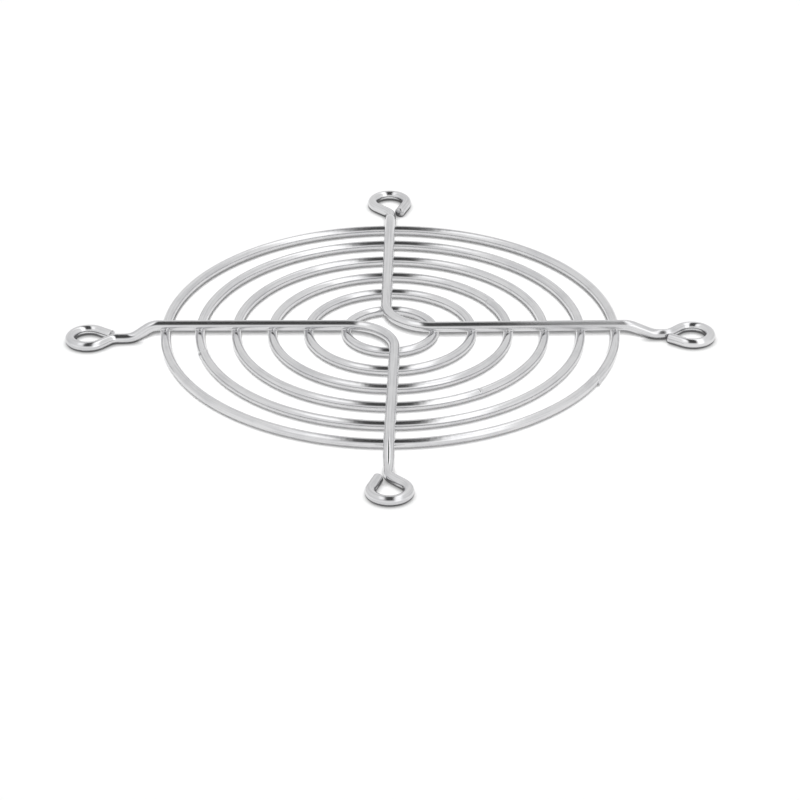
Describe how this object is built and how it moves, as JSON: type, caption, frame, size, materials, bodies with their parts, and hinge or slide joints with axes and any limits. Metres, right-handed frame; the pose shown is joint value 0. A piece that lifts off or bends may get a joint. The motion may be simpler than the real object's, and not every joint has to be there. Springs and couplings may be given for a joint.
{
  "type": "wire fan guard",
  "caption": "Plated steel wire finger guard for a square fan: concentric rings welded under two bent supports whose ends curl into screw eyes.",
  "frame": {"origin": "middle of the four screw eyes, on the face that the eyes sit on", "axes": "+Z away from the fan, X and Y along the sides of the square fan; the arms lie on its diagonals"},
  "size_m": [0.0914, 0.0914, 0.0045],
  "materials": {
    "plated_wire": "bright nickel or chrome plating over drawn steel wire"
  },
  "bodies": {
    "root": {"front_support": "plated_wire", "rear_support": "plated_wire", "ring_1": "plated_wire", "ring_2": "plated_wire", "ring_3": "plated_wire", "ring_4": "plated_wire", "ring_5": "plated_wire", "ring_6": "plated_wire"}
  },
  "joints": []
}
